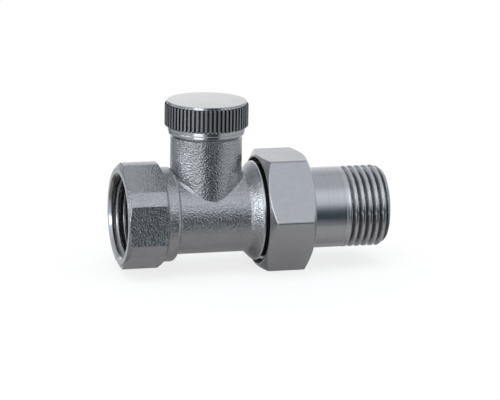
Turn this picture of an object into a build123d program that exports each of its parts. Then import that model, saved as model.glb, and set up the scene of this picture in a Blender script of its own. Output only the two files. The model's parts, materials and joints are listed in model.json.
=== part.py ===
import os
from math import cos, radians, tan
from build123d import *

os.makedirs("parts", exist_ok=True)

# Sizes are in millimetres. The origin is on the pipe's axis, where the socket's full thread begins.
# +X runs along the pipe towards the radiator and +Z points up the spindle.

# G 1/2 pipe thread, over its outer diameter, in the socket and on the tailpiece
pipe_thread_d = 20.955

# Female pipe end in a forged hexagon
hex_flats = 25.4
hex_corner_d = 27.4
hex_face_d = 24.6
hex_len = 10.7
hex_chamfer_angle = 30
socket_mouth_d = 22.0
socket_lead = 0.55
socket_thread_len = 10.9
ring_d = 24.3
ring_len = 3.2
ring_round = 1.1

# Tube and neck of the body
spindle_x = 22.25
tube_d = 20.8
passage_d = 14.4
neck_d = 18.4
neck_top = 20.6
neck_edge = 0.5
neck_blend = 1.2
crease_round = 0.4

# Male union end of the body, G 3/4 drawn at its pitch diameter
outlet_reach = 12.8
flare_len = 2.45
flare_round = 1.6
collar_d = 25.7
collar_len = 0.45
collar_round = 0.4
relief_d = 23.8
relief_len = 1.6
union_thread_d = 25.2
union_end_len = 7.6
union_end_edge = 0.8

# Bridge, seat and chamber inside the body
bridge_top = 1.2
bridge_thick = 2.4
bridge_wall = 2.1
seat_rim_height = 0.6
seat_rim_d = 9.2
seat_port_d = 7.8
chamber_d = 11.8
lift_margin = 0.5

# Headwork bush, M14 outside and M10 inside
headwork_thread_d = 13.4
headwork_plain_d = 13.1
headwork_plain_len = 4.5
headwork_inner_thread_len = 7.0
headwork_drop = 0.3
headwork_slot = 1.6
headwork_slot_depth = 1.4

# Spigot on the neck, M17, and the knurled cap that screws on it
spigot_thread_d = 16.4
spigot_len = 4.6
spigot_edge = 0.4
cap_gap = 0.3
cap_height = 8.55
cap_ring_d = 19.9
cap_ring_height = 1.65
cap_knurl_d = 21.4
cap_knurl_low = 2.2
cap_knurl_height = 5.45
cap_disc_d = 20.4
cap_disc_height = 0.62
cap_disc_edge = 0.12
cap_roof = 1.5
cap_land = 2.3
flute_count = 60
flute_width = 0.66
flute_floor_width = 0.36
flute_depth = 0.42
cap_seal_thick = 1.1
cap_seal_width = 1.9

# Regulating spindle with its plug, washer and screw
valve_lift = 3.0
stem_d = 7.8
stem_drop = 0.3
spindle_thread_d = 9.4
spindle_thread_len = 4.9
plug_d = 11.0
plug_height = 2.8
plug_cup_depth = 1.4
plug_wall = 0.5
washer_thick = 2.75
key_flats = 5.0
key_floor_wall = 0.25
seat_screw_d = 3.0
seat_screw_grip = 3.0
seat_screw_head_d = 5.2
seat_screw_head_height = 1.2
seat_screw_slot = 0.8
seat_screw_slot_depth = 0.6

# O-rings
stem_ring_section = 1.6
stem_ring_offset = 1.4
stem_ring_pitch = 2.3
headwork_ring_section = 1.0
tail_ring_section = 1.6
nose_ring_setback = 2.2
groove_side_gap = 0.15
ring_gap = 0.05

# Tailpiece, G 1/2 outside
nose_d = 17.0
nose_len = 4.5
nose_edge = 0.5
tail_flange_d = 23.2
tail_flange_len = 2.3
tail_plain_d = 20.8
tail_thread_len = 10.6
tail_runout_len = 1.0
tail_runout_d = 18.6
tail_len = 26.35
tail_end_d = 19.0
tail_end_chamfer = 1.5
tail_bore_d = 12.0
tail_key_depth = 10.0

# Union nut
nut_flats = 28.8
nut_face_d = 28.2
nut_len = 12.3
nut_lip = 3.0
nut_mouth_d = 27.4
nut_hole_edge = 0.5
nut_edge_round = 0.3

# Clearances, each on the radius or the face
thread_clearance = 0.12
slide_clearance = 0.1
tail_clearance = 0.25
face_gap = 0.05

# Stations that follow from the sizes above
pipe_axis = Axis.X
spindle_axis = Axis((spindle_x, 0, 0), (0, 0, 1))
tube_r = tube_d / 2
mouth_x = -socket_lead
hex_end = mouth_x + hex_len
ring_end = hex_end + ring_len
collar_end = spindle_x + outlet_reach
collar_foot = collar_end - collar_len
flare_start = collar_foot - flare_len
union_end = collar_end + union_end_len
counterbore_r = nose_d / 2 + slide_clearance
bridge_low = bridge_top - bridge_thick
seat_z = bridge_top + seat_rim_height
washer_low = seat_z + face_gap
washer_top = washer_low + washer_thick
plug_low = washer_top - plug_cup_depth
plug_top = plug_low + plug_height
chamber_top = plug_top + valve_lift + lift_margin
inner_thread_top = chamber_top + headwork_inner_thread_len
spigot_top = neck_top + spigot_len
headwork_top = spigot_top - headwork_drop
headwork_thread_low = chamber_top + headwork_plain_len
headwork_bore_r = headwork_plain_d / 2 + slide_clearance
stem_top = headwork_top - stem_drop
stem_bore_r = stem_d / 2 + slide_clearance
spindle_thread_top = inner_thread_top - valve_lift - slide_clearance
cap_low = neck_top + cap_gap
cap_top = cap_low + cap_height
cap_seal_low = spigot_top + face_gap
cap_seal_top = cap_seal_low + cap_seal_thick
tail_face = union_end + face_gap
tail_end = tail_face + tail_len
tail_thread_low = tail_end - tail_thread_len
nut_shoulder = tail_face + tail_flange_len + face_gap
nut_end = nut_shoulder + nut_lip
nut_start = nut_end - nut_len


def turn(points, axis, mode=Mode.ADD, corners=()):
    # Revolves an outline about the pipe or the spindle, with some of its corners rounded
    with BuildSketch(Plane.XZ) as outline:
        with BuildLine():
            Polyline(*points, close=True)
        make_face()
        for place, radius in corners:
            fillet(outline.vertices().sort_by_distance(place)[0], radius)
    revolve(outline.sketch, axis=axis, mode=mode)


def about_spindle(points):
    # Moves (radius, height) points to the spindle
    return [(spindle_x + radius, height) for radius, height in points]


def chamfer_run(outer_d, inner_d):
    # Length along the axis of a turned chamfer on a hexagon
    return (outer_d - inner_d) / 2 * tan(radians(hex_chamfer_angle))


def ring_radius(bore_r, section):
    # Centre line radius of an O-ring that seals against a bore
    return bore_r - ring_gap - section / 2


def groove(bore_r, section, along, axis):
    # Cuts the O-ring's groove, centred at a station along the axis
    floor_r = ring_radius(bore_r, section) - section / 2 - ring_gap
    half = section / 2 + groove_side_gap
    if axis is spindle_axis:
        corners = [(floor_r, along - half), (bore_r, along - half), (bore_r, along + half), (floor_r, along + half)]
        turn(about_spindle(corners), axis, Mode.SUBTRACT)
    else:
        corners = [(along - half, floor_r), (along - half, bore_r), (along + half, bore_r), (along + half, floor_r)]
        turn(corners, axis, Mode.SUBTRACT)


# Waterways of the body, as solids to take away: in under the bridge and out above it
with BuildPart() as inlet_void:
    with BuildSketch(Plane.YZ.offset(socket_thread_len)):
        Circle(passage_d / 2)
    extrude(amount=spindle_x + chamber_d / 2 - bridge_wall / 2 - socket_thread_len)
    with BuildSketch(Plane.XY.offset(bridge_low)):
        with Locations((spindle_x - chamber_d / 2 - bridge_wall, 0)):
            Rectangle(2 * chamber_d, passage_d, align=(Align.MIN, Align.CENTER))
    extrude(amount=passage_d, mode=Mode.SUBTRACT)

with BuildPart() as outlet_void:
    with BuildSketch(Plane.YZ.offset(spindle_x)):
        Circle(passage_d / 2)
    extrude(amount=union_end - spindle_x)
    with BuildSketch(Plane.XY.offset(bridge_top)):
        with Locations((spindle_x + chamber_d / 2 + bridge_wall / 2, 0)):
            Rectangle(2 * chamber_d, passage_d, align=(Align.MAX, Align.CENTER))
    extrude(amount=-passage_d, mode=Mode.SUBTRACT)


# Valve body
with BuildPart() as valve_body:
    # Hexagon with its corners turned down and both ends chamfered
    with BuildSketch(Plane.YZ.offset(mouth_x)):
        RegularPolygon(hex_flats / 2, 6, major_radius=False, rotation=30)
    extrude(amount=hex_len)
    hex_turning = [
        (mouth_x, 0),
        (mouth_x, hex_face_d / 2),
        (mouth_x + chamfer_run(hex_corner_d, hex_face_d), hex_corner_d / 2),
        (hex_end - chamfer_run(hex_corner_d, ring_d), hex_corner_d / 2),
        (hex_end, ring_d / 2),
        (hex_end, 0),
    ]
    turn(hex_turning, pipe_axis, Mode.INTERSECT)

    # Tube and neck, blended where they cross
    turn([(hex_end, 0), (hex_end, tube_r), (collar_end, tube_r), (collar_end, 0)], pipe_axis)
    neck_outline = [
        (0, 0),
        (neck_d / 2, 0),
        (neck_d / 2, neck_top - neck_edge),
        (neck_d / 2 - neck_edge, neck_top),
        (spigot_thread_d / 2, neck_top),
        (spigot_thread_d / 2, spigot_top - spigot_edge),
        (spigot_thread_d / 2 - spigot_edge, spigot_top),
        (0, spigot_top),
    ]
    turn(about_spindle(neck_outline), spindle_axis)
    crossing = valve_body.edges().filter_by(GeomType.BSPLINE).sort_by(SortBy.LENGTH)[-1]
    fillet(crossing, neck_blend)

    # Ring behind the hexagon
    ring_outline = [
        (hex_end, 0),
        (hex_end, ring_d / 2),
        (ring_end, ring_d / 2),
        (ring_end, tube_r),
        (ring_end + ring_len, tube_r),
        (ring_end + ring_len, 0),
    ]
    ring_corners = [((ring_end, ring_d / 2), ring_round), ((ring_end, tube_r), crease_round)]
    turn(ring_outline, pipe_axis, corners=ring_corners)

    # Flare, collar and threaded end on the outlet side
    outlet_outline = [
        (spindle_x, 0),
        (spindle_x, tube_r),
        (flare_start, tube_r),
        (collar_foot, collar_d / 2),
        (collar_end, collar_d / 2),
        (collar_end, relief_d / 2),
        (collar_end + relief_len, relief_d / 2),
        (collar_end + relief_len, union_thread_d / 2),
        (union_end - union_end_edge, union_thread_d / 2),
        (union_end, union_thread_d / 2 - union_end_edge),
        (union_end, 0),
    ]
    outlet_corners = [((flare_start, tube_r), flare_round), ((collar_foot, collar_d / 2), collar_round)]
    turn(outlet_outline, pipe_axis, corners=outlet_corners)

    # Pipe socket, waterways and the counterbore for the tailpiece's nose
    socket_outline = [
        (mouth_x, 0),
        (mouth_x, socket_mouth_d / 2),
        (0, pipe_thread_d / 2),
        (socket_thread_len, pipe_thread_d / 2),
        (socket_thread_len, 0),
    ]
    turn(socket_outline, pipe_axis, Mode.SUBTRACT)
    add(inlet_void.part, mode=Mode.SUBTRACT)
    add(outlet_void.part, mode=Mode.SUBTRACT)
    with BuildSketch(Plane.YZ.offset(union_end)):
        Circle(counterbore_r)
    extrude(amount=-nose_len - slide_clearance, mode=Mode.SUBTRACT)

    # Chamber above the bridge, and the stepped bore for the headwork
    bore_outline = [
        (0, bridge_top),
        (chamber_d / 2, bridge_top),
        (chamber_d / 2, chamber_top),
        (headwork_bore_r, chamber_top),
        (headwork_bore_r, headwork_thread_low),
        (headwork_thread_d / 2 + slide_clearance, headwork_thread_low),
        (headwork_thread_d / 2 + slide_clearance, spigot_top),
        (0, spigot_top),
    ]
    turn(about_spindle(bore_outline), spindle_axis, Mode.SUBTRACT)

    # Raised seat rim, and its port through the bridge
    with BuildSketch(Plane.XY.offset(bridge_low)):
        with Locations((spindle_x, 0)):
            Circle(seat_rim_d / 2)
    extrude(amount=seat_z - bridge_low)
    with BuildSketch(Plane.XY.offset(bridge_low)):
        with Locations((spindle_x, 0)):
            Circle(seat_port_d / 2)
    extrude(amount=seat_z - bridge_low, mode=Mode.SUBTRACT)
valve_body.part.label = "valve_body"
export_step(valve_body.part, "parts/valve_body.step")


# Headwork: threaded bush in the neck, with a smooth upper bore for the stem's O-rings
with BuildPart() as headwork:
    inner_thread_r = spindle_thread_d / 2 + thread_clearance
    headwork_outline = [
        (inner_thread_r, chamber_top),
        (headwork_plain_d / 2, chamber_top),
        (headwork_plain_d / 2, headwork_thread_low + slide_clearance),
        (headwork_thread_d / 2, headwork_thread_low + slide_clearance),
        (headwork_thread_d / 2, headwork_top),
        (stem_bore_r, headwork_top),
        (stem_bore_r, inner_thread_top),
        (inner_thread_r, inner_thread_top),
    ]
    turn(about_spindle(headwork_outline), spindle_axis)
    headwork_ring_z = chamber_top + headwork_plain_len / 2
    groove(headwork_bore_r, headwork_ring_section, headwork_ring_z, spindle_axis)
    with BuildSketch(Plane.XY.offset(headwork_top)):
        with Locations((spindle_x, 0)):
            Rectangle(headwork_thread_d, headwork_slot)
    extrude(amount=-headwork_slot_depth, mode=Mode.SUBTRACT)
headwork.part.label = "headwork"
export_step(headwork.part, "parts/headwork.step")


# O-rings round the spindle's axis, one in the headwork and two on the stem
def spindle_ring(bore_r, section, height):
    with BuildPart() as ring:
        with BuildSketch(Plane.XZ):
            with Locations((spindle_x + ring_radius(bore_r, section), height)):
                Circle(section / 2)
        revolve(axis=spindle_axis)
    return ring


headwork_ring = spindle_ring(headwork_bore_r, headwork_ring_section, headwork_ring_z)
headwork_ring.part.label = "headwork_ring"
export_step(headwork_ring.part, "parts/headwork_ring.step")

lower_ring_z = inner_thread_top + stem_ring_offset
spindle_ring_lower = spindle_ring(stem_bore_r, stem_ring_section, lower_ring_z)
spindle_ring_lower.part.label = "spindle_ring_lower"
export_step(spindle_ring_lower.part, "parts/spindle_ring_lower.step")

upper_ring_z = lower_ring_z + stem_ring_pitch
spindle_ring_upper = spindle_ring(stem_bore_r, stem_ring_section, upper_ring_z)
spindle_ring_upper.part.label = "spindle_ring_upper"
export_step(spindle_ring_upper.part, "parts/spindle_ring_upper.step")


# Spindle: plug with a cup for the washer, screw thread, stem and hexagon key socket
with BuildPart() as spindle:
    cup_r = plug_d / 2 - plug_wall
    spindle_outline = [
        (0, washer_top),
        (cup_r, washer_top),
        (cup_r, plug_low),
        (plug_d / 2, plug_low),
        (plug_d / 2, plug_top),
        (stem_d / 2, plug_top),
        (stem_d / 2, spindle_thread_top - spindle_thread_len),
        (spindle_thread_d / 2, spindle_thread_top - spindle_thread_len),
        (spindle_thread_d / 2, spindle_thread_top),
        (stem_d / 2, spindle_thread_top),
        (stem_d / 2, stem_top),
        (0, stem_top),
    ]
    turn(about_spindle(spindle_outline), spindle_axis)
    groove(stem_bore_r, stem_ring_section, lower_ring_z, spindle_axis)
    groove(stem_bore_r, stem_ring_section, upper_ring_z, spindle_axis)
    key_floor = upper_ring_z + stem_ring_section / 2 + groove_side_gap + key_floor_wall
    with BuildSketch(Plane.XY.offset(stem_top)):
        with Locations((spindle_x, 0)):
            RegularPolygon(key_flats / 2, 6, major_radius=False)
    extrude(amount=key_floor - stem_top, mode=Mode.SUBTRACT)
    with BuildSketch(Plane.XY.offset(washer_top)):
        with Locations((spindle_x, 0)):
            Circle(seat_screw_d / 2 + slide_clearance)
    extrude(amount=seat_screw_grip + slide_clearance, mode=Mode.SUBTRACT)
spindle.part.label = "spindle"
export_step(spindle.part, "parts/spindle.step")


# Seat washer in the plug's cup
with BuildPart() as seat_washer:
    with BuildSketch(Plane.XY.offset(washer_low)):
        with Locations((spindle_x, 0)):
            Circle(cup_r - face_gap)
            Circle(seat_screw_d / 2 + slide_clearance, mode=Mode.SUBTRACT)
    extrude(amount=washer_thick)
seat_washer.part.label = "seat_washer"
export_step(seat_washer.part, "parts/seat_washer.step")


# Slotted screw that holds the washer
with BuildPart() as seat_screw:
    screw_outline = [
        (0, washer_low - seat_screw_head_height),
        (seat_screw_head_d / 2, washer_low - seat_screw_head_height),
        (seat_screw_head_d / 2, washer_low),
        (seat_screw_d / 2, washer_low),
        (seat_screw_d / 2, washer_top + seat_screw_grip),
        (0, washer_top + seat_screw_grip),
    ]
    turn(about_spindle(screw_outline), spindle_axis)
    with BuildSketch(Plane.XY.offset(washer_low - seat_screw_head_height)):
        with Locations((spindle_x, 0)):
            Rectangle(seat_screw_head_d, seat_screw_slot)
    extrude(amount=seat_screw_slot_depth, mode=Mode.SUBTRACT)
seat_screw.part.label = "seat_screw"
export_step(seat_screw.part, "parts/seat_screw.step")


# Protective cap: plain ring, knurled band and flat disc, hollow for the spigot and the risen stem
with BuildPart() as protective_cap:
    knurl_low = cap_low + cap_knurl_low
    knurl_top = knurl_low + cap_knurl_height
    cap_thread_r = spigot_thread_d / 2 + thread_clearance
    cap_outline = [
        (cap_thread_r, cap_low),
        (cap_ring_d / 2, cap_low),
        (cap_ring_d / 2, cap_low + cap_ring_height),
        (cap_knurl_d / 2, knurl_low),
        (cap_knurl_d / 2, knurl_top),
        (cap_disc_d / 2, cap_top - cap_disc_height),
        (cap_disc_d / 2, cap_top - cap_disc_edge),
        (cap_disc_d / 2 - cap_disc_edge, cap_top),
        (0, cap_top),
        (0, cap_top - cap_roof),
        (cap_thread_r - cap_land, cap_top - cap_roof),
        (cap_thread_r - cap_land, cap_seal_top + face_gap),
        (cap_thread_r, cap_seal_top + face_gap),
    ]
    turn(about_spindle(cap_outline), spindle_axis)
    with BuildSketch(Plane.XY.offset(cap_low + cap_ring_height)) as flutes:
        with Locations((spindle_x, 0)):
            with PolarLocations(cap_knurl_d / 2 - flute_depth, flute_count):
                slope = (flute_width - flute_floor_width) / 2
                Polygon(
                    (0, -flute_floor_width / 2),
                    (2 * flute_depth, -flute_floor_width / 2 - 2 * slope),
                    (2 * flute_depth, flute_floor_width / 2 + 2 * slope),
                    (0, flute_floor_width / 2),
                    align=None,
                )
    extrude(amount=cap_height - cap_disc_height - cap_ring_height, mode=Mode.SUBTRACT)
protective_cap.part.label = "protective_cap"
export_step(protective_cap.part, "parts/protective_cap.step")


# Flat seal between the spigot and the cap
with BuildPart() as cap_seal:
    with BuildSketch(Plane.XY.offset(cap_seal_low)):
        with Locations((spindle_x, 0)):
            Circle(spigot_thread_d / 2)
            Circle(spigot_thread_d / 2 - cap_seal_width, mode=Mode.SUBTRACT)
    extrude(amount=cap_seal_thick)
cap_seal.part.label = "cap_seal"
export_step(cap_seal.part, "parts/cap_seal.step")


# Tailpiece: nose with its O-ring groove, flange, plain barrel, run-out groove and the length that is threaded
with BuildPart() as tailpiece:
    tail_outline = [
        (tail_face - nose_len, tail_bore_d / 2),
        (tail_face - nose_len, nose_d / 2 - nose_edge),
        (tail_face - nose_len + nose_edge, nose_d / 2),
        (tail_face, nose_d / 2),
        (tail_face, tail_flange_d / 2),
        (tail_face + tail_flange_len, tail_flange_d / 2),
        (tail_face + tail_flange_len, tail_plain_d / 2),
        (tail_thread_low - tail_runout_len, tail_plain_d / 2),
        (tail_thread_low - tail_runout_len, tail_runout_d / 2),
        (tail_thread_low, tail_runout_d / 2),
        (tail_thread_low, pipe_thread_d / 2),
        (tail_end - tail_end_chamfer, pipe_thread_d / 2),
        (tail_end, tail_end_d / 2),
        (tail_end, tail_bore_d / 2),
    ]
    turn(tail_outline, pipe_axis)
    tail_ring_x = tail_face - nose_ring_setback
    groove(counterbore_r, tail_ring_section, tail_ring_x, pipe_axis)
    with BuildSketch(Plane.YZ.offset(tail_end)):
        RegularPolygon(tail_bore_d / 2, 6, major_radius=False)
    extrude(amount=-tail_key_depth, mode=Mode.SUBTRACT)
tailpiece.part.label = "tailpiece"
export_step(tailpiece.part, "parts/tailpiece.step")


# O-ring on the tailpiece's nose
with BuildPart() as tail_ring:
    with BuildSketch(Plane.XZ):
        with Locations((tail_ring_x, ring_radius(counterbore_r, tail_ring_section))):
            Circle(tail_ring_section / 2)
    revolve(axis=pipe_axis)
tail_ring.part.label = "tail_ring"
export_step(tail_ring.part, "parts/tail_ring.step")


# Union nut: hexagon with turned chamfers, threaded mouth and a lip behind the flange
with BuildPart() as union_nut:
    with BuildSketch(Plane.YZ.offset(nut_start)) as nut_section:
        RegularPolygon(nut_flats / 2, 6, major_radius=False)
        fillet(nut_section.vertices(), nut_edge_round)
    extrude(amount=nut_len)
    nut_corners = nut_flats / cos(radians(30))
    nut_chamfer = chamfer_run(nut_corners, nut_face_d)
    nut_turning = [
        (nut_start, 0),
        (nut_start, nut_face_d / 2),
        (nut_start + nut_chamfer, nut_corners / 2),
        (nut_end - nut_chamfer, nut_corners / 2),
        (nut_end, nut_face_d / 2),
        (nut_end, 0),
    ]
    turn(nut_turning, pipe_axis, Mode.INTERSECT)
    nut_thread_r = union_thread_d / 2 + thread_clearance
    nut_hole_r = pipe_thread_d / 2 + tail_clearance
    nut_bore = [
        (nut_start, 0),
        (nut_start, nut_mouth_d / 2),
        (nut_start + nut_mouth_d / 2 - nut_thread_r, nut_thread_r),
        (nut_shoulder, nut_thread_r),
        (nut_shoulder, nut_hole_r),
        (nut_end - nut_hole_edge, nut_hole_r),
        (nut_end, nut_hole_r + nut_hole_edge),
        (nut_end, 0),
    ]
    turn(nut_bore, pipe_axis, Mode.SUBTRACT)
union_nut.part.label = "union_nut"
export_step(union_nut.part, "parts/union_nut.step")
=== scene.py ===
import bpy
import json
from math import atan2, cos, hypot, pi, radians, sin, sqrt, tan
from mathutils import Matrix, Vector

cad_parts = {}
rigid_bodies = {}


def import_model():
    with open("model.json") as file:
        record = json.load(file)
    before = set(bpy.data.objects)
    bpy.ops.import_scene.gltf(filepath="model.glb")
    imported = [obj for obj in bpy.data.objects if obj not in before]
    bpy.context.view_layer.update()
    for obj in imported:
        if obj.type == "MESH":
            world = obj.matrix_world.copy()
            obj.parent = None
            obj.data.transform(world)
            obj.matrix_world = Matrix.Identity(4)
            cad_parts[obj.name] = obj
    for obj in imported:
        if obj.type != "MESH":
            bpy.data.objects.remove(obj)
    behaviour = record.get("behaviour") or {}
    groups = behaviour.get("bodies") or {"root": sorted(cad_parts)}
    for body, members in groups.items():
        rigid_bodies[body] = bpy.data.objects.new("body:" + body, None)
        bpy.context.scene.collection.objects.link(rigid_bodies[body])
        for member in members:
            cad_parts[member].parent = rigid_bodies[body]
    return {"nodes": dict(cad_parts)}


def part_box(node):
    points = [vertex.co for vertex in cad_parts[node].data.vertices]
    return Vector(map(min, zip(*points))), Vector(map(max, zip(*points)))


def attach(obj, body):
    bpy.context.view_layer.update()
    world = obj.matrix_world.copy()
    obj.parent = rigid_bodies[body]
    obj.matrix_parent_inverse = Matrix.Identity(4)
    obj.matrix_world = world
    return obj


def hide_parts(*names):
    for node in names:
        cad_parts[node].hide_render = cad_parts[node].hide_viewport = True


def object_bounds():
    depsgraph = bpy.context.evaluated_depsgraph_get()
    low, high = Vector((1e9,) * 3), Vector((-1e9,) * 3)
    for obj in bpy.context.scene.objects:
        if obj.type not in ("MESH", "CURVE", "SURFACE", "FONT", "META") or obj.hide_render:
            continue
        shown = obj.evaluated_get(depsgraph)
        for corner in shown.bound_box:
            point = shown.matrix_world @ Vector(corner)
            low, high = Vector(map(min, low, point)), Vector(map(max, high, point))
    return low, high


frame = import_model()
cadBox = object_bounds()  # the solids' own box
cadNodes = frame["nodes"]
mm = 0.001  # the pieces' sizes are written in mm
weld = 4e-7  # vertices closer than this, in metres, are one
capLow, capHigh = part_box("protective_cap")
spindleX = (capLow.x + capHigh.x) / 2 / mm
print("frame loaded:", len(cadNodes), "nodes, spindle at", round(spindleX, 2), "mm")


# drawing and turning

def clearSelection():
    if bpy.context.object and bpy.context.object.mode != "OBJECT":
        bpy.ops.object.mode_set(mode="OBJECT")
    bpy.ops.object.select_all(action="DESELECT")


def makeActive(piece):
    clearSelection()
    piece.select_set(True)
    bpy.context.view_layer.objects.active = piece


def drawProfile(name, places):
    # a small plane merged to one vertex is the pen
    clearSelection()
    bpy.ops.mesh.primitive_plane_add(size=mm)
    piece = bpy.context.object
    piece.name = piece.data.name = name
    bpy.ops.object.mode_set(mode="EDIT")
    bpy.ops.mesh.select_all(action="SELECT")
    bpy.ops.mesh.merge(type="CENTER")
    bpy.ops.transform.translate(value=places[0] * mm)
    for here, there in zip(places, places[1:]):
        bpy.ops.mesh.extrude_vertices_move(TRANSFORM_OT_translate={"value": (there - here) * mm})
    return piece


def spinProfile(piece, steps, centre, axis):
    bpy.ops.mesh.select_all(action="SELECT")
    bpy.ops.mesh.spin(steps=steps, angle=2 * pi, center=centre, axis=axis)
    bpy.ops.mesh.select_all(action="SELECT")
    bpy.ops.mesh.remove_doubles(threshold=weld)
    bpy.ops.mesh.normals_make_consistent(inside=False)
    bpy.ops.object.mode_set(mode="OBJECT")


def softCorners(points, reach, leastTurn=12, share=0.4):
    # each corner of an open profile gives way to a short curve
    soft = [points[0]]
    for before, corner, after in zip(points, points[1:], points[2:]):
        into = Vector(corner) - Vector(before)
        out = Vector(after) - Vector(corner)
        if into.angle(out) < radians(leastTurn):
            soft.append(corner)
            continue
        cut = min(reach, share * into.length, share * out.length)
        first = Vector(corner) - into.normalized() * cut
        last = Vector(corner) + out.normalized() * cut
        middle = (first + last) / 4 + Vector(corner) / 2
        soft += [tuple(first), tuple(middle), tuple(last)]
    soft.append(points[-1])
    return soft


def alongPipe(points):
    return [Vector((x, 0, r)) for x, r in points]


def alongSpindle(points):
    return [Vector((spindleX + r, 0, z)) for r, z in points]


def reshapePipe(piece, rule):
    # rule takes station, radius and angle about the pipe, and gives a new station, radius and angle
    for vertex in piece.data.vertices:
        x, y, z = vertex.co / mm
        x, r, turn = rule(x, hypot(y, z), atan2(z, y))
        vertex.co = Vector((x, r * cos(turn), r * sin(turn))) * mm
    piece.data.update()


def reshapeSpindle(piece, rule):
    # rule takes height, radius and angle about the spindle, and gives a new radius and angle, or None
    for vertex in piece.data.vertices:
        x, y, z = vertex.co / mm
        place = rule(z, hypot(x - spindleX, y), atan2(y, x - spindleX))
        if place:
            r, turn = place
            vertex.co = Vector((spindleX + r * cos(turn), r * sin(turn), z)) * mm
    piece.data.update()


def smoothFinish(piece, angle, weighted=True):
    makeActive(piece)
    bpy.ops.object.shade_smooth_by_angle(angle=radians(angle))
    if weighted:  # done at mm size, because the modifier leaves out faces as small as these are in metres
        piece.data.transform(Matrix.Scale(1 / mm, 4))
        leader = piece.modifiers.new("flat faces lead", "WEIGHTED_NORMAL")
        leader.keep_sharp = True
        leader.weight = 95
        bpy.ops.object.modifier_apply(modifier="flat faces lead")
        piece.data.transform(Matrix.Scale(mm, 4))


def hexRadius(turn, apothem, cornerRound=0.0):
    # radius of a hexagon with corners at the front and the back
    off = abs((turn + pi / 6) % (pi / 3) - pi / 6)
    reach = (apothem - cornerRound) / cos(pi / 6)
    if off < atan2(cornerRound * sin(pi / 6), reach + cornerRound * cos(pi / 6)):
        return reach * cos(off) + sqrt(cornerRound ** 2 - (reach * sin(off)) ** 2)
    return apothem / cos(pi / 6 - off)


def threadHeight(x, turn, pitch, start, rootShare=0.25, flankSlope=1.5, rounding=0.75):
    # 0 in the root and 1 on the crest of a right-hand thread
    along = ((x - start) / pitch - turn / (2 * pi)) % 1
    flank = min(max(flankSlope * (1 - abs(2 * along - 1)) - rootShare, 0), 1)
    return (1 - rounding) * flank + rounding * flank * flank * (3 - 2 * flank)


# body: a copy of its solid with the hexagon's edges eased, the flare rounded and two threads cut

bodyLook = {"flatAngle": 0.15, "edgeAngle": 17, "edgeEase": 0.16, "hexEnd": 10.2, "hexOutside": 11.9,
            "smoothAngle": 26, "slack": 0.02,
            "flare": {"start": 31.6, "end": 35.05, "tube": 10.4, "rim": 12.8, "foot": 32.15, "collar": 12.85,
                      "before": 0.3, "after": 0.1, "near": 0.35, "longest": 0.5, "rows": 9},
            "union": {"start": 36.65, "end": 41.85, "radius": 12.6, "depth": 0.6, "pitch": 1.814, "near": 0.03,
                      "longest": 4.0, "rows": 57},
            "spigot": {"start": 20.6, "end": 24.8, "radius": 8.2, "depth": 0.4, "pitch": 1.0, "near": 0.03,
                       "longest": 3.0, "rows": 62},
            "zones": {"socketEnd": 11.0, "socket": 11.3, "bore": 10.15, "neckFoot": 10.0, "chamber": 8.9,
                      "chamberReach": 9.0, "spigot": 8.4, "neckTop": 20.3, "machinedFrom": 34.6,
                      "unionFrom": 35.15, "union": 10.5}}


def flareCone(x):
    # radius of the solid's own flare
    flare = bodyLook["flare"]
    return min(flare["tube"] + max(x - flare["foot"], 0), flare["collar"])


def inThread(thread, station, r):
    slack = bodyLook["slack"]
    return (thread["start"] - slack < station < thread["end"] + slack
            and abs(r - thread["radius"]) < thread["near"])


def grooveDepth(thread, station, turn):
    # nothing at the thread's two ends
    deep = thread["depth"] * (1 - threadHeight(station, turn, thread["pitch"], thread["start"]))
    return max(min(deep, station - thread["start"], thread["end"] - station), 0)


def addRows(piece, chosen, longest, cuts):
    # splits the long edges whose two ends are chosen
    makeActive(piece)
    bpy.ops.object.mode_set(mode="EDIT")
    bpy.ops.mesh.select_mode(type="EDGE")
    bpy.ops.mesh.select_all(action="DESELECT")
    bpy.ops.object.mode_set(mode="OBJECT")
    for edge in piece.data.edges:
        ends = [piece.data.vertices[i].co / mm for i in edge.vertices]
        gap = ends[0] - ends[1]
        edge.select = max(abs(gap.x), abs(gap.z)) > longest and all(chosen(e) for e in ends)
    bpy.ops.object.mode_set(mode="EDIT")
    bpy.ops.mesh.subdivide(number_cuts=cuts)
    bpy.ops.object.mode_set(mode="OBJECT")


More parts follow.
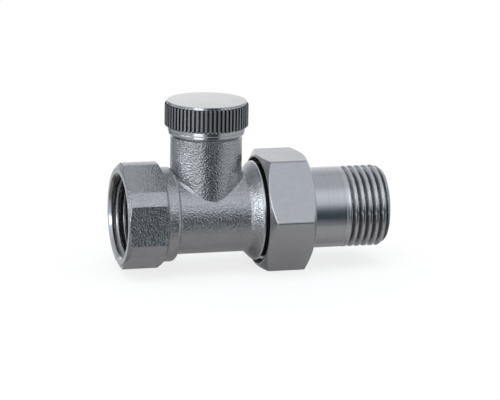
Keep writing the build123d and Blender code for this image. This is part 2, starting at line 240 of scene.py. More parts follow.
def makeBody():
    b = bodyLook
    flare, union, spigot = b["flare"], b["union"], b["spigot"]
    piece = bpy.data.objects.new("valveBody", cadNodes["valve_body"].data.copy())
    bpy.context.scene.collection.objects.link(piece)
    makeActive(piece)
    bpy.ops.mesh.customdata_custom_splitnormals_clear()
    bpy.ops.object.mode_set(mode="EDIT")
    bpy.ops.mesh.select_mode(type="EDGE")
    bpy.ops.mesh.select_all(action="SELECT")
    bpy.ops.mesh.remove_doubles(threshold=weld)
    bpy.ops.mesh.dissolve_limited(angle_limit=radians(b["flatAngle"]))
    bpy.ops.mesh.select_all(action="DESELECT")
    bpy.ops.object.mode_set(mode="OBJECT")

    def onFlare(e):
        return (flare["start"] - flare["before"] < e.x < flare["end"] + flare["after"]
                and abs(hypot(e.y, e.z) - flareCone(e.x)) < flare["near"])

    def onUnion(e):
        return inThread(union, e.x, hypot(e.y, e.z))

    def onSpigot(e):
        return inThread(spigot, e.z, hypot(e.x - spindleX, e.y))

    for chosen, zone in ((onFlare, flare), (onUnion, union), (onSpigot, spigot)):
        addRows(piece, chosen, zone["longest"], zone["rows"])

    def easeFlare(x, r, turn):
        if flare["start"] < x < flare["end"] + b["slack"] and abs(r - flareCone(x)) < flare["near"]:
            share = min((x - flare["start"]) / (flare["end"] - flare["start"]), 1)
            r = flare["tube"] + (flare["rim"] - flare["tube"]) * share * share * (3 - 2 * share)
        return x, r, turn

    def cutUnion(x, r, turn):
        if inThread(union, x, r):
            r -= grooveDepth(union, x, turn)
        return x, r, turn

    def cutSpigot(z, r, turn):
        if inThread(spigot, z, r):
            return spigot["radius"] - grooveDepth(spigot, z, turn), turn

    reshapePipe(piece, easeFlare)
    reshapePipe(piece, cutUnion)
    reshapeSpindle(piece, cutSpigot)
    bpy.ops.object.mode_set(mode="EDIT")
    bpy.ops.mesh.select_all(action="DESELECT")
    bpy.ops.mesh.edges_select_sharp(sharpness=radians(b["edgeAngle"]))
    bpy.ops.object.mode_set(mode="OBJECT")
    for edge in piece.data.edges:  # only the outside of the hexagon is eased
        if edge.select:
            ends = [piece.data.vertices[i].co / mm for i in edge.vertices]
            edge.select = all(e.x < b["hexEnd"] and hypot(e.y, e.z) > b["hexOutside"] for e in ends)
    bpy.ops.object.mode_set(mode="EDIT")
    bpy.ops.mesh.bevel(offset=b["edgeEase"] * mm, segments=2, affect="EDGES", clamp_overlap=True)
    bpy.ops.mesh.select_mode(type="VERT")
    bpy.ops.object.mode_set(mode="OBJECT")
    smoothFinish(piece, b["smoothAngle"])
    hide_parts("valve_body")
    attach(piece, "body")
    return piece


valveBody = makeBody()
print("body:", len(valveBody.data.polygons), "faces")


# thread in the pipe socket

socketThread = {"start": 0.0, "end": 10.85, "root": 10.5, "crest": 9.33, "wall": 10.62, "pitch": 1.814,
                "row": 0.09, "phase": 0.55, "leadSlope": 0.9, "skin": 0.05, "smoothAngle": 60, "columns": 144}


def makeSocketThread():
    s = socketThread
    rows = int((s["end"] - s["start"]) / s["row"])
    inner = [(s["start"] + k * (s["end"] - s["start"]) / rows, s["root"]) for k in range(rows + 1)]
    loop = [(s["start"], s["wall"])] + inner + [(s["end"], s["wall"]), (s["start"], s["wall"])]
    piece = drawProfile("socketThread", alongPipe(loop))
    spinProfile(piece, s["columns"], (0, 0, 0), (1, 0, 0))

    def cutThread(x, r, turn):
        if r < s["wall"] - s["skin"]:
            height = threadHeight(x, turn, s["pitch"], s["phase"]) * (s["root"] - s["crest"])
            r = s["root"] - min(height, max(x - s["start"], 0) * s["leadSlope"], max(s["end"] - x, 0))
        return x, r, turn

    reshapePipe(piece, cutThread)
    smoothFinish(piece, s["smoothAngle"], weighted=False)
    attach(piece, "body")
    return piece


socketRidge = makeSocketThread()
print("socket thread:", len(socketRidge.data.polygons), "faces")


# tailpiece with its cut thread and hexagon key bore

tail = {"noseEnd": 38.2, "nose": 8.5, "noseEdge": 0.5, "grooveStart": 39.55, "grooveEnd": 41.45, "grooveFloor": 6.9,
        "face": 42.7, "flange": 11.6, "flangeEnd": 45.0, "plain": 10.4, "cornerEase": 0.1,
        "threadStart": 57.2, "startSlack": 0.01, "fadeEnd": 59.3, "root": 9.3155, "crest": 10.4775, "pitch": 1.814,
        "phase": 58.2, "rootShare": 0.02, "row": 0.075, "threadMark": 10.0, "threadBottom": 8.5, "runUp": 0.7,
        "runUpSlope": 0.4, "chamferStart": 67.55, "end": 69.05, "endRadius": 9.5, "endSlope": 0.6,
        "keyFloor": 59.05, "bore": 6.0, "keyMark": 6.5, "keyMouth": 6.8, "keyEdge": 0.4, "keyEase": 0.35,
        "markSlack": 0.02, "lookBottom": 8.6, "lookEnd": 0.1, "smoothAngle": 35, "columns": 168}


def makeTail():
    t = tail
    nose = [(t["noseEnd"], t["bore"]), (t["noseEnd"], t["nose"] - t["noseEdge"]),
            (t["noseEnd"] + t["noseEdge"], t["nose"]), (t["grooveStart"], t["nose"]),
            (t["grooveStart"], t["grooveFloor"]), (t["grooveEnd"], t["grooveFloor"]),
            (t["grooveEnd"], t["nose"]), (t["face"], t["nose"]), (t["face"], t["flange"]),
            (t["flangeEnd"], t["flange"]), (t["flangeEnd"], t["plain"]), (t["threadStart"], t["plain"])]
    rows = int((t["end"] - t["threadStart"]) / t["row"])
    step = (t["end"] - t["threadStart"]) / rows
    threadRows = [(t["threadStart"] + k * step, t["threadMark"]) for k in range(1, rows + 1)]
    key = [(t["end"], t["keyMouth"]), (t["end"] - t["keyEdge"], t["keyMark"]), (t["keyFloor"], t["keyMark"]),
           (t["keyFloor"], t["bore"]), (t["noseEnd"], t["bore"])]
    piece = drawProfile("threadedTail", alongPipe(softCorners(nose, t["cornerEase"]) + threadRows + key))
    spinProfile(piece, t["columns"], (0, 0, 0), (1, 0, 0))

    def cutTail(x, r, turn):
        if x > t["threadStart"] + t["startSlack"] and r > t["threadBottom"]:
            depth = t["crest"] - t["root"]
            fade = min((x - t["threadStart"]) / (t["fadeEnd"] - t["threadStart"]), 1)  # grooves deepen from nothing
            r = t["crest"] - depth * fade * (1 - threadHeight(x, turn, t["pitch"], t["phase"], t["rootShare"]))
            r = min(r, t["plain"] + max(x - t["threadStart"] - t["runUp"], 0) * t["runUpSlope"])
            slope = (t["crest"] - t["endRadius"]) / (t["end"] - t["chamferStart"])
            r = min(r, t["crest"] - max(x - t["chamferStart"], 0) * slope)
            r = max(r, t["endRadius"] - (t["end"] - x) * t["endSlope"])
        elif abs(r - t["keyMark"]) < t["markSlack"]:
            r = hexRadius(turn, t["bore"])
        elif abs(r - t["keyMouth"]) < t["markSlack"]:
            r = hexRadius(turn, t["bore"]) + t["keyEase"]
        return x, r, turn

    reshapePipe(piece, cutTail)
    smoothFinish(piece, t["smoothAngle"])
    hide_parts("tailpiece")
    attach(piece, "tail")
    return piece


threadedTail = makeTail()
print("tailpiece:", len(threadedTail.data.polygons), "faces")


# union nut with turned chamfers

nut = {"start": 35.75, "end": 48.05, "apothem": 14.4, "cornerRound": 1.0, "faceRadius": 14.1, "faceInset": 0.15,
       "mouth": 13.7, "thread": 12.72, "shoulder": 45.05, "hole": 10.7275, "holeEdge": 0.5, "cornerEase": 0.06,
       "firstMark": 20, "sideRows": 5, "rowGap": 0.1, "crowd": 1.9, "coneAngle": 30, "edgeEase": 0.22,
       "easeShare": 0.4, "faceStep": (0.02, 0.03), "faceEase": 0.06, "edgeBulge": (0.12, 0.2), "mouthSlack": 0.05,
       "smoothAngle": 38, "columns": 240}


def makeNut():
    n = nut
    mouthEnd = n["start"] + n["mouth"] - n["thread"]
    faceEdge = n["faceRadius"] - n["faceInset"]
    inside = softCorners([(n["start"], faceEdge), (n["start"], n["mouth"]), (mouthEnd, n["thread"]),
                          (n["shoulder"], n["thread"]), (n["shoulder"], n["hole"]),
                          (n["end"] - n["holeEdge"], n["hole"]), (n["end"], n["hole"] + n["holeEdge"]),
                          (n["end"], faceEdge)], n["cornerEase"])
    middle = (n["start"] + n["end"]) / 2
    first, sideRows = n["firstMark"], n["sideRows"]  # stand-in radii, one for each outer row
    outside = [(n["end"] - n["rowGap"] * k, first + k) for k in range(sideRows)] + [(middle, first + sideRows)]
    outside += [(n["start"] + n["rowGap"] * k, first + 2 * sideRows - k) for k in reversed(range(sideRows))]
    piece = drawProfile("unionNut", alongPipe(inside + outside + inside[:1]))
    spinProfile(piece, n["columns"], (0, 0, 0), (1, 0, 0))
    cone = radians(n["coneAngle"])

    def cutNut(x, r, turn):
        # columns crowd towards the six corners
        sector = round(turn / (pi / 3)) * pi / 3
        t = (turn - sector) / (pi / 6)
        turn = sector + (abs(t) ** n["crowd"]) * (1 if t > 0 else -1) * pi / 6
        if r < first - 1:
            return x, r, turn
        row = round(r) - first
        outer = hexRadius(turn, n["apothem"], n["cornerRound"])
        if row == sideRows:
            return x, outer, turn
        face, way = (n["end"], -1) if row < sideRows else (n["start"], 1)
        row = min(row, 2 * sideRows - row)
        edge = (outer - n["faceRadius"]) * tan(cone)  # where the turned cone meets the flat
        ease = min(n["edgeEase"], n["easeShare"] * (outer - n["faceRadius"]) / cos(cone))
        if row == 0:
            x, r = n["faceStep"][0], n["faceRadius"] - n["faceStep"][1]
        elif row == 1:
            x, r = n["faceEase"] * sin(cone), n["faceRadius"] + n["faceEase"] * cos(cone)
        elif row == 2:
            x, r = edge - ease * sin(cone), outer - ease * cos(cone)
        elif row == 3:
            x, r = edge + ease * n["edgeBulge"][0], outer - ease * n["edgeBulge"][1]
        else:
            x, r = edge + ease, outer
        return face + way * x, r, turn

    reshapePipe(piece, cutNut)
    smoothFinish(piece, n["smoothAngle"])
    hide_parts("union_nut")
    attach(piece, "nut")
    return piece


unionNut = makeNut()
print("union nut:", len(unionNut.data.polygons), "faces")


# knurled cap: its profiles are radius and height

cap = {"inside": [(0.0, 27.95), (6.02, 27.95), (6.02, 26.4), (8.32, 26.4), (8.32, 21.2), (8.62, 20.9)],
       "rings": [(9.6, 20.9), (9.8, 21.05), (9.8, 21.62), (9.6, 21.66), (9.65, 21.82), (9.95, 21.86),
                 (9.95, 22.66), (10.01, 22.72)],
       "band": [(10.58, 23.0), (10.7, 23.12), (10.7, 28.45), (10.58, 28.59)],
       "rim": [(10.23, 28.68), (10.2, 28.74), (10.2, 29.28), (10.1, 29.37)],
       "disc": 10.2, "top": 29.45, "sag": 0.08, "crown": (0.96, 0.8, 0.6, 0.4, 0.2, 0.1, 0.0), "cornerEase": 0.03,
       "knurl": 10.7, "floor": 10.17, "fluteFoot": 22.7, "flutes": 60, "turnBy": 0.5,
       "columnPlaces": (0.0, 0.3, 0.47, 0.53, 0.62, 1.0), "floorColumns": 3, "columns": 600,
       "lookLow": 22.8, "lookHigh": 28.65, "lookFloor": 10.12, "smoothAngle": 30}


def makeCap():
    c = cap
    crown = [(c["disc"] * k, c["top"] - c["sag"] * k * k) for k in c["crown"]]
    skin = softCorners(c["inside"] + c["rings"] + c["band"] + c["rim"] + crown, c["cornerEase"])
    piece = drawProfile("knurledCap", alongSpindle(skin))
    spinProfile(piece, c["columns"], (spindleX * mm, 0, 0), (0, 0, 1))
    lastColumn = len(c["columnPlaces"]) - 1

    def cutFlutes(z, r, turn):
        if r > c["floor"] and z > c["fluteFoot"]:
            along = turn * c["flutes"] / (2 * pi) + c["turnBy"]
            off = (along % 1 - 0.5) * 2  # 0 in the middle of a flute, 1 in the middle of a ridge
            column = min(round(abs(off) * lastColumn), lastColumn)
            turn += (c["columnPlaces"][column] - abs(off)) * (1 if off > 0 else -1) * pi / c["flutes"]
            return (c["floor"] if column < c["floorColumns"] else r), turn

    reshapeSpindle(piece, cutFlutes)
    smoothFinish(piece, c["smoothAngle"])
    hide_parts("protective_cap")
    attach(piece, "cap")
    return piece


knurledCap = makeCap()
print("cap:", len(knurledCap.data.polygons), "faces")


# shared shader groups

def connect(tree, value, socket):
    # value is another node's output or a plain number
    if hasattr(value, "links"):
        tree.links.new(value, socket)
    else:
        socket.default_value = value


def newGroup(name, inputs, outputs):
    group = bpy.data.node_groups.new(name, "ShaderNodeTree")
    for label, value in inputs:
        group.interface.new_socket(label, in_out="INPUT", socket_type="NodeSocketFloat").default_value = value
    for label in outputs:
        group.interface.new_socket(label, in_out="OUTPUT", socket_type="NodeSocketFloat")
    return group, group.nodes.new("NodeGroupInput"), group.nodes.new("NodeGroupOutput")


def mathNode(tree, kind, a, b=0.0, clamp=False):
    node = tree.nodes.new("ShaderNodeMath")
    node.operation = kind
    node.use_clamp = clamp
    for socket, value in zip(node.inputs, (a, b)):
        connect(tree, value, socket)
    return node.outputs[0]


def weighSum(tree, a, aShare, b, bShare):
    return mathNode(tree, "ADD", mathNode(tree, "MULTIPLY", a, aShare), mathNode(tree, "MULTIPLY", b, bShare))


def noiseNode(tree, vector, scale, detail, rough=0.5, flat=False):
    node = tree.nodes.new("ShaderNodeTexNoise")
    node.noise_dimensions = "1D" if flat else "3D"
    tree.links.new(vector, node.inputs["W" if flat else "Vector"])
    for label, value in (("Scale", scale), ("Detail", detail), ("Roughness", rough)):
        connect(tree, value, node.inputs[label])
    return node.outputs["Fac"]


def mapNode(tree, value, low, high, toLow, toHigh, smooth=False):
    node = tree.nodes.new("ShaderNodeMapRange")
    node.interpolation_type = "SMOOTHSTEP" if smooth else "LINEAR"
    tree.links.new(value, node.inputs["Value"])
    for label, number in (("From Min", low), ("From Max", high), ("To Min", toLow), ("To Max", toHigh)):
        connect(tree, number, node.inputs[label])
    return node.outputs["Result"]


grainMix = {"fine": 0.95, "fineDetail": 1.0, "coarse": 0.35, "coarseDetail": 2.0, "coarseScale": 0.42,
            "patchDetail": 3.0, "pitTone": 0.7, "patchTone": 0.35}


def blastedGrainGroup():
    # pits of a shot-blasted casting, with broad patches over them
    g = grainMix
    group, given, gives = newGroup("blastedGrain", [("Grain per m", 1900.0), ("Patch per m", 300.0)],
                                   ["Height", "Tone"])
    place = group.nodes.new("ShaderNodeTexCoord").outputs["Object"]
    coarseScale = mathNode(group, "MULTIPLY", given.outputs["Grain per m"], g["coarseScale"])
    fine = noiseNode(group, place, given.outputs["Grain per m"], g["fineDetail"])
    coarse = noiseNode(group, place, coarseScale, g["coarseDetail"])
    patch = noiseNode(group, place, given.outputs["Patch per m"], g["patchDetail"])
    pits = weighSum(group, fine, g["fine"], coarse, g["coarse"])
    group.links.new(pits, gives.inputs["Height"])
    group.links.new(weighSum(group, pits, g["pitTone"], patch, g["patchTone"]), gives.inputs["Tone"])
    return group


ringMix = {"fine": 0.6, "fineDetail": 2.0, "fineRough": 0.7, "broad": 0.4, "broadDetail": 1.0, "broadScale": 0.22}


def toolLinesGroup():
    # rings left by a turning tool, read along whatever runs across them
    r = ringMix
    group, given, gives = newGroup("toolLines", [("Across", 0.0), ("Lines per m", 5000.0)], ["Height", "Tone"])
    across, lines = given.outputs["Across"], given.outputs["Lines per m"]
    broadLines = mathNode(group, "MULTIPLY", lines, r["broadScale"])
    fine = noiseNode(group, across, lines, r["fineDetail"], r["fineRough"], flat=True)
    broad = noiseNode(group, across, broadLines, r["broadDetail"], flat=True)
    group.links.new(weighSum(group, fine, r["fine"], broad, r["broad"]), gives.inputs["Height"])
    group.links.new(broad, gives.inputs["Tone"])
    return group


smearMix = {"detail": 4.0, "rough": 0.6, "low": 0.35, "high": 0.7}


def handlingGroup():
    # faint smears and dull patches
    group, given, gives = newGroup("handling", [("Patch per m", 160.0)], ["Dull"])
    place = group.nodes.new("ShaderNodeTexCoord").outputs["Object"]
    smear = noiseNode(group, place, given.outputs["Patch per m"], smearMix["detail"], smearMix["rough"])
    group.links.new(mapNode(group, smear, smearMix["low"], smearMix["high"], 0.0, 1.0, True), gives.inputs["Dull"])
    return group


blastedGrain = blastedGrainGroup()
toolLines = toolLinesGroup()
handling = handlingGroup()
print("shader groups ready")


# materials

def startMaterial(name, metallic):
    material = bpy.data.materials.new(name)
    material.use_nodes = True
    tree = material.node_tree
    shader = tree.nodes["Principled BSDF"]
    shader.inputs["Metallic"].default_value = metallic
    return material, tree, shader


def groupNode(tree, group, values):
    node = tree.nodes.new("ShaderNodeGroup")
    node.node_tree = group
    for label, value in values.items():
        connect(tree, value, node.inputs[label])
    return node


def colourRamp(tree, value, stops):
    ramp = tree.nodes.new("ShaderNodeValToRGB")
    points = ramp.color_ramp.elements
    while len(points) < len(stops):
        points.new(0.5)
    for point, (place, colour) in zip(points, stops):
        point.position = place
        point.color = (*colour, 1)
    tree.links.new(value, ramp.inputs["Fac"])
    return ramp.outputs["Color"]


def paint(tree, shader, value, stops):
    tree.links.new(colourRamp(tree, value, stops), shader.inputs["Base Color"])


def wearRough(tree, shader, look):
    # smears are duller than the rest
    wear = groupNode(tree, handling, {"Patch per m": look["wear"]})
    rough = mapNode(tree, wear.outputs["Dull"], 0.0, 1.0, look["roughLow"], look["roughHigh"])
    tree.links.new(rough, shader.inputs["Roughness"])
    return wear.outputs["Dull"]


def addBump(tree, shader, height, distance):
    bump = tree.nodes.new("ShaderNodeBump")
    bump.inputs["Distance"].default_value = distance
    bump.inputs["Strength"].default_value = 1.0
    tree.links.new(height, bump.inputs["Height"])
    tree.links.new(bump.outputs["Normal"], shader.inputs["Normal"])


def objectAxis(tree, axis):
    split = tree.nodes.new("ShaderNodeSeparateXYZ")
    tree.links.new(tree.nodes.new("ShaderNodeTexCoord").outputs["Object"], split.inputs[0])
    return split.outputs[axis]


def distanceFromLine(tree, keep, shift):
    # keep drops the coordinate that runs along the line
    node = tree.nodes.new("ShaderNodeVectorMath")
    node.operation = "MULTIPLY_ADD"
    tree.links.new(tree.nodes.new("ShaderNodeTexCoord").outputs["Object"], node.inputs[0])
    node.inputs[1].default_value = keep
    node.inputs[2].default_value = shift
    length = tree.nodes.new("ShaderNodeVectorMath")
    length.operation = "LENGTH"
    tree.links.new(node.outputs[0], length.inputs[0])
    return length.outputs["Value"]


def distanceFromSpindle(tree):
    return distanceFromLine(tree, (1, 1, 0), (-spindleX * mm, 0, 0))


def distanceFromPipe(tree):
    return distanceFromLine(tree, (0, 1, 1), (0, 0, 0))


blasted = {"dark": (0.5, 0.5, 0.51), "light": (0.61, 0.61, 0.615), "darkAt": 0.5, "lightAt": 0.95,
           "roughLow": 0.16, "roughHigh": 0.22, "wear": 120.0, "grain": 2300.0, "patch": 300.0, "bump": 0.00015}
satin = {"dark": (0.545, 0.547, 0.555), "light": (0.585, 0.587, 0.595), "darkAt": 0.5, "lightAt": 0.95,
         "roughLow": 0.2, "roughHigh": 0.27, "wear": 260.0, "grain": 1500.0, "patch": 450.0, "bump": 0.000012}


def grainedNickel(name, look):
    material, tree, shader = startMaterial(name, 1.0)
    grain = groupNode(tree, blastedGrain, {"Grain per m": look["grain"], "Patch per m": look["patch"]})
    paint(tree, shader, grain.outputs["Tone"], [(look["darkAt"], look["dark"]), (look["lightAt"], look["light"])])
    wearRough(tree, shader, look)
    addBump(tree, shader, grain.outputs["Height"], look["bump"])
    return material


machined = {"shade": 0.95, "darkAt": 0.25, "lightAt": 0.75}
turned = {"colour": (0.68, 0.68, 0.69), "roughLow": 0.12, "roughHigh": 0.17, "wear": 170.0,
          "across": "X", "lines": 4200.0, "bump": 0.000004}
# near-black colour painted as shade on the union thread and inside the nut, where the gap between them lies in
# shadow
unionGapShade = {"colour": (0.05, 0.046, 0.046), "roughLow": 0.5, "roughHigh": 0.6, "wear": 170.0,
           "across": "X", "lines": 3000.0, "bump": 0.000004}
polished = {"colour": (0.65, 0.65, 0.655), "roughLow": 0.09, "roughHigh": 0.14, "wear": 170.0,
            "across": "spindle", "lines": 3600.0, "bump": 0.000012}
brass = {"colour": (0.8, 0.6, 0.3), "roughLow": 0.2, "roughHigh": 0.3, "wear": 170.0,
         "across": "Z", "lines": 4200.0, "bump": 0.000006}


def machinedMetal(name, look):
    material, tree, shader = startMaterial(name, 1.0)
    source = distanceFromSpindle(tree) if look["across"] == "spindle" else objectAxis(tree, look["across"])
    rings = groupNode(tree, toolLines, {"Across": source, "Lines per m": look["lines"]})
    dark = tuple(c * machined["shade"] for c in look["colour"])
    paint(tree, shader, rings.outputs["Tone"], [(machined["darkAt"], dark), (machined["lightAt"], look["colour"])])
    wearRough(tree, shader, look)
    addBump(tree, shader, rings.outputs["Height"], look["bump"])
    return material


# the floor colour is painted shade at the bottom of the flutes
knurl = {"floor": (0.08, 0.08, 0.083), "ridge": (0.37, 0.37, 0.38), "floorAt": 0.75, "ridgeAt": 1.0,
         "ridgeInset": 0.04, "roughLow": 0.5, "roughHigh": 0.58, "wear": 700.0}


def knurledNickelShadedFlutes():
    # dull ridges, and flute floors painted dark as shade between the ridges
    material, tree, shader = startMaterial("knurledNickelShadedFlutes", 1.0)
    ridge = (cap["knurl"] - knurl["ridgeInset"]) * mm
    height = mapNode(tree, distanceFromSpindle(tree), cap["floor"] * mm, ridge, 0, 1)
    paint(tree, shader, height, [(knurl["floorAt"], knurl["floor"]), (knurl["ridgeAt"], knurl["ridge"])])
    wearRough(tree, shader, knurl)
    return material


# tail: roots painted dark as shade, crests painted lighter than the turned nickel as a highlight
tailThreadShadeAndHighlight = {"root": (0.34, 0.34, 0.345), "crest": (0.76, 0.76, 0.77), "rootAt": 0.1, "crestAt": 0.9,
             "roughLow": 0.1, "roughHigh": 0.15, "wear": 600.0}
# socket: the whole thread painted darker as shade inside the bore, its roots darkest
socketThreadShade = {"root": (0.14, 0.14, 0.14), "crest": (0.52, 0.52, 0.53), "rootAt": 0.1, "crestAt": 0.9,
               "roughLow": 0.18, "roughHigh": 0.26, "wear": 600.0}


def shadedThreadNickel(name, rootRadius, crestRadius, tones):
    # roots painted dark as shade between the ridges, crests lighter, in the tones given
    material, tree, shader = startMaterial(name, 1.0)
    height = mapNode(tree, distanceFromPipe(tree), rootRadius * mm, crestRadius * mm, 0, 1)
    paint(tree, shader, height, [(tones["rootAt"], tones["root"]), (tones["crestAt"], tones["crest"])])
    wearRough(tree, shader, tones)
    return material


rubber = {"dark": (0.018, 0.018, 0.019), "light": (0.035, 0.035, 0.036), "roughLow": 0.5, "roughHigh": 0.68,
          "wear": 900.0}


def sealRubber():
    material, tree, shader = startMaterial("sealRubber", 0.0)
    dull = wearRough(tree, shader, rubber)
    paint(tree, shader, dull, [(0.0, rubber["dark"]), (1.0, rubber["light"])])
    return material


blastedLook = grainedNickel("blastedNickel", blasted)
satinLook = grainedNickel("satinNickel", satin)
turnedLook = machinedMetal("turnedNickel", turned)
unionGapShadeLook = machinedMetal("unionGapShadeThread", unionGapShade)
polishedLook = machinedMetal("polishedNickel", polished)
brassLook = machinedMetal("bareBrass", brass)
tailThreadLook = shadedThreadNickel("tailThreadNickel", tail["root"], tail["crest"], tailThreadShadeAndHighlight)
socketThreadLook = shadedThreadNickel("socketThreadNickel", socketThread["root"], socketThread["crest"], socketThreadShade)
knurlLook = knurledNickelShadedFlutes()
rubberLook = sealRubber()


def dress(piece, *looks):
    piece.data.materials.clear()
    for look in looks:
        piece.data.materials.append(look)


def chooseLooks(piece, rule):
    # rule takes a face's middle, its distance from the pipe's axis and from the spindle's, and gives its slot
    for face in piece.data.polygons:
        e = face.center / mm
        face.material_index = int(rule(e, hypot(e.y, e.z), hypot(e.x - spindleX, e.y)))


def bodySlot(e, r, nearSpindle):
    # bores, spigot and collar are turned, the union end is painted near black as shade in the gap under the nut,
    # and the rest is blasted
    z = bodyLook["zones"]
    if e.x > z["unionFrom"] and r > z["union"]:
        return 2
    passage = (r < z["bore"] and e.z < z["neckFoot"]
               and (nearSpindle < z["chamber"] or abs(e.x - spindleX) > z["chamberReach"]))
    shaft = e.z > z["neckTop"] or (e.z > z["neckFoot"] and nearSpindle < z["spigot"])
    return passage or shaft or e.x > z["machinedFrom"] or (e.x < z["socketEnd"] and r < z["socket"])


def tailSlot(e, r, nearSpindle):
    return tail["threadStart"] < e.x < tail["end"] - tail["lookEnd"] and r > tail["lookBottom"]


# the nut's mouth and thread take the near-black painted shade
def nutSlot(e, r, nearSpindle):
    return e.x < nut["shoulder"] and r < nut["mouth"] + nut["mouthSlack"]


def capSlot(e, r, nearSpindle):
    return cap["lookLow"] < e.z < cap["lookHigh"] and nearSpindle > cap["lookFloor"]


dress(valveBody, blastedLook, turnedLook, unionGapShadeLook)
dress(socketRidge, socketThreadLook)
dress(threadedTail, turnedLook, tailThreadLook)
dress(unionNut, satinLook, unionGapShadeLook)
dress(knurledCap, polishedLook, knurlLook)
for piece, rule in ((valveBody, bodySlot), (threadedTail, tailSlot), (unionNut, nutSlot), (knurledCap, capSlot)):
    chooseLooks(piece, rule)
for name in ("headwork", "spindle", "seat_screw"):
    dress(cadNodes[name], brassLook)
for name in ("headwork_ring", "spindle_ring_lower", "spindle_ring_upper", "seat_washer", "cap_seal", "tail_ring"):
    dress(cadNodes[name], rubberLook)
print("materials on")


# camera at the photograph's angle

shot = {"turn": -15.43, "lift": 13.19, "distance": 0.92113, "roll": 1.03, "target": (spindleX + 11.9, 0.0, 2.7),
        "sensor": 36, "focalPixels": 3583.44, "widthPixels": 500, "clip": (0.05, 10)}


def placeCamera():
    a, e, roll = radians(shot["turn"]), radians(shot["lift"]), radians(shot["roll"])
    back = Vector((sin(a) * cos(e), -cos(a) * cos(e), sin(e)))
    flatRight = Vector((0, 0, 1)).cross(back).normalized()
    flatUp = back.cross(flatRight)
    right = flatRight * cos(roll) + flatUp * sin(roll)
    up = flatUp * cos(roll) - flatRight * sin(roll)
    place = Vector(shot["target"]) * mm + back * shot["distance"]
    data = bpy.data.cameras.new("photoCamera")
    data.sensor_width = shot["sensor"]
    data.lens = shot["sensor"] * shot["focalPixels"] / shot["widthPixels"]
    data.clip_start, data.clip_end = shot["clip"]
    camera = bpy.data.objects.new("photoCamera", data)
    bpy.context.scene.collection.objects.link(camera)
    facing = Matrix((right, up, back)).transposed().to_4x4()
    camera.matrix_world = Matrix.Translation(place) @ facing
    bpy.context.scene.camera = camera
    return back, flatRight


back, sideways = placeCamera()
print("camera placed")


# studio: white backdrop, soft light from the front left and above, a dark room behind the camera
# A zone's side is degrees round from the camera to its right, its lift degrees up: low end, high end, softness.
# Its rear runs from none to all as the side, left or right, grows. Its stops are a level for each lift.

studio = {
    "sky": [(-90, 0.28), (-65, 0.24), (-48, 0.21), (-40, 0.19), (-30, 0.17), (-20, 0.19), (-10, 0.26), (0, 0.34),
            (12, 0.48), (24, 0.7), (36, 0.8), (48, 0.8), (56, 0.7), (66, 0.55), (75, 0.54), (90, 0.54)],
    "lights": {
        "glow": {"level": 0.5, "side": (-66, 2, 12),
                 "stops": [(-30, 0.0), (-13, 0.24), (0, 0.42), (12, 0.75), (24, 1.0), (36, 0.85), (48, 0.5),
                           (60, 0.2), (75, 0.0)]},
        "front": {"level": 0.25, "side": (-14, 18, 8), "lift": (18, 42, 6)},
        "card": {"level": 1.2, "side": (-36, -8, 3), "lift": (-17, -9, 2)},
        "left": {"level": 0.2, "side": (-125, -20, 15), "lift": (-25, 10, 8)},
        "right": {"level": 0.24, "side": (45, 150, 10), "lift": (-25, 10, 8)},
        "window": {"level": 2.6, "side": (-85, -45, 6), "lift": (3, 15, 2.5)},
        "rearFloor": {"level": 0.14, "rear": (140, 160), "lift": (-60, -26, 8)}},
    "shades": {
        "left": {"level": 0.3, "side": (-160, -85, 10), "lift": (5, 50, 8)},
        "rear": {"level": 0.28, "rear": (90, 120), "lift": (36, 62, 6)},
        "under": {"level": 0.6, "side": (-150, -110, 10), "lift": (-62, -36, 6)}},
    "room": {"level": 0.065, "tint": (0.62, 0.82, 1.0), "side": (4, 38, 4),
             "stops": [(-43, 0.0), (-40, 0.9), (-30, 0.95), (-12, 0.97), (-4, 0.84), (2, 0.66), (8, 0.38),
                       (16, 0.06), (22, 0.0)]},
    "backdrop": {"level": 0.95, "rear": (146, 162), "lift": (-22, 16, 8), "across": (-0.025, 0.025),
                 "mirrored": (0.98, 0.82)},
    "tint": [(0.0, (1, 0.98, 0.97)), (0.25, (1, 0.98, 0.98)), (0.4, (0.89, 0.94, 1.0)), (1.0, (0.89, 0.94, 1.0))]}


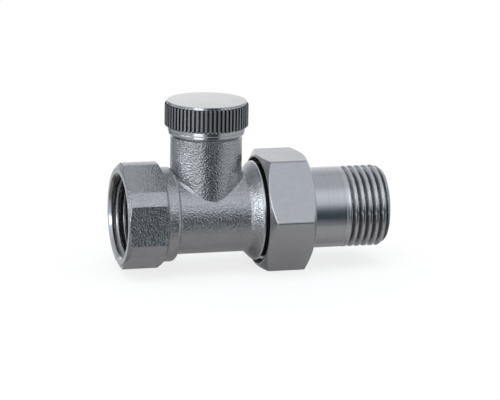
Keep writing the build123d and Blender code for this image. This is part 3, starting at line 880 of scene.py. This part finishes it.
def buildStudio():
    world = bpy.data.worlds.new("studio")
    bpy.context.scene.world = world
    world.use_nodes = True
    tree = world.node_tree
    background = tree.nodes["Background"]
    look = tree.nodes.new("ShaderNodeTexCoord").outputs["Generated"]
    split = tree.nodes.new("ShaderNodeSeparateXYZ")
    tree.links.new(look, split.inputs[0])

    def along(direction):
        node = tree.nodes.new("ShaderNodeVectorMath")
        node.operation = "DOT_PRODUCT"
        tree.links.new(look, node.inputs[0])
        node.inputs[1].default_value = direction
        return node.outputs["Value"]

    def inDegrees(angle):
        return mathNode(tree, "MULTIPLY", angle, 180 / pi)

    def times(a, b):
        return mathNode(tree, "MULTIPLY", a, b)

    def less(amount):
        return mathNode(tree, "SUBTRACT", 1.0, amount)

    towards = Vector((back.x, back.y, 0)).normalized()
    side = inDegrees(mathNode(tree, "ARCTAN2", along(sideways), along(towards)))
    lift = inDegrees(mathNode(tree, "ARCSINE", split.outputs["Z"]))
    liftShare = mapNode(tree, lift, -90, 90, 0, 1)

    def band(value, low, high, soft):
        rise = mapNode(tree, value, low - soft, low + soft, 0, 1, True)
        fall = mapNode(tree, value, high - soft, high + soft, 1, 0, True)
        return times(rise, fall)

    def byLift(stops):
        return colourRamp(tree, liftShare, [((d + 90) / 180, (v, v, v)) for d, v in stops])

    def patch(zone):
        if "side" in zone:
            across = band(side, *zone["side"])
        else:
            across = mapNode(tree, mathNode(tree, "ABSOLUTE", side), *zone["rear"], 0, 1, True)
        return times(across, byLift(zone["stops"]) if "stops" in zone else band(lift, *zone["lift"]))

    light = byLift(studio["sky"])
    for zone in studio["lights"].values():
        light = mathNode(tree, "ADD", light, times(patch(zone), zone["level"]))
    room = patch(studio["room"])
    shade = room
    for zone in studio["shades"].values():
        shade = mathNode(tree, "MAXIMUM", shade, times(patch(zone), zone["level"]))
    light = mathNode(tree, "ADD", times(light, less(shade)), times(room, studio["room"]["level"]))
    backdrop = studio["backdrop"]
    behind = patch(backdrop)
    light = mathNode(tree, "ADD", times(light, less(behind)), times(behind, backdrop["level"]))

    # the camera sees white, and metal shows the backdrop that stands behind the valve
    path = tree.nodes.new("ShaderNodeLightPath")
    seen = path.outputs["Is Camera Ray"]
    mirrored = mathNode(tree, "ADD", path.outputs["Is Glossy Ray"], path.outputs["Is Transmission Ray"], True)
    white = mathNode(tree, "MAXIMUM", seen, times(mirrored, behind))
    lean = mapNode(tree, along(sideways), *backdrop["across"], *backdrop["mirrored"])
    lean = mathNode(tree, "MAXIMUM", lean, seen)
    strength = mathNode(tree, "ADD", times(light, less(white)), times(white, lean))

    def blend(amount, under, over):
        node = tree.nodes.new("ShaderNodeMix")
        node.data_type = "RGBA"
        tree.links.new(amount, node.inputs["Factor"])
        tree.links.new(under, node.inputs["A"])
        node.inputs["B"].default_value = (*over, 1)
        return node.outputs["Result"]

    tint = colourRamp(tree, liftShare, studio["tint"])
    colour = blend(white, blend(room, tint, studio["room"]["tint"]), (1, 1, 1))
    tree.links.new(colour, background.inputs["Color"])
    tree.links.new(strength, background.inputs["Strength"])


# floor and lamp, in metres

paper = {"sides": 96, "radius": 0.062, "middle": 0.034, "drop": 0.00003, "colour": (0.86, 0.86, 0.86, 1),
         "rough": 0.9, "specular": 0.1, "fade": (0.024, 0.06), "alpha": 0.22}


def buildFloor():
    clearSelection()
    bpy.ops.mesh.primitive_circle_add(vertices=paper["sides"], radius=paper["radius"], fill_type="NGON")
    ground = bpy.context.object
    ground.name = ground.data.name = "paleFloor"
    bpy.ops.object.mode_set(mode="EDIT")
    bpy.ops.mesh.select_all(action="SELECT")
    bpy.ops.transform.translate(value=(paper["middle"], 0, cadBox[0].z - paper["drop"]))
    bpy.ops.object.mode_set(mode="OBJECT")
    material, tree, shader = startMaterial("palePaper", 0.0)
    shader.inputs["Roughness"].default_value = paper["rough"]
    shader.inputs["Base Color"].default_value = paper["colour"]
    shader.inputs["Specular IOR Level"].default_value = paper["specular"]
    away = tree.nodes.new("ShaderNodeVectorMath")
    away.operation = "DISTANCE"
    tree.links.new(tree.nodes.new("ShaderNodeTexCoord").outputs["Object"], away.inputs[0])
    away.inputs[1].default_value = (paper["middle"], 0, cadBox[0].z)
    alpha = mapNode(tree, away.outputs["Value"], *paper["fade"], paper["alpha"], 0, True)
    tree.links.new(alpha, shader.inputs["Alpha"])
    dress(ground, material)


overhead = {"place": (0.0, -0.1, 1.0), "aim": (0.034, 0, 0), "size": 0.9, "power": 6.0}


def hangLamp():
    data = bpy.data.lights.new("overheadLamp", "AREA")
    data.shape = "DISK"
    data.size = overhead["size"]
    data.energy = overhead["power"]
    lamp = bpy.data.objects.new("overheadLamp", data)
    lamp.visible_glossy = False
    bpy.context.scene.collection.objects.link(lamp)
    aim = Vector(overhead["aim"]) - Vector(overhead["place"])
    facing = aim.to_track_quat("-Z", "Y").to_matrix().to_4x4()
    lamp.matrix_world = Matrix.Translation(overhead["place"]) @ facing


buildStudio()
buildFloor()
hangLamp()
bpy.context.scene.view_settings.view_transform = "Standard"
print("studio lit")
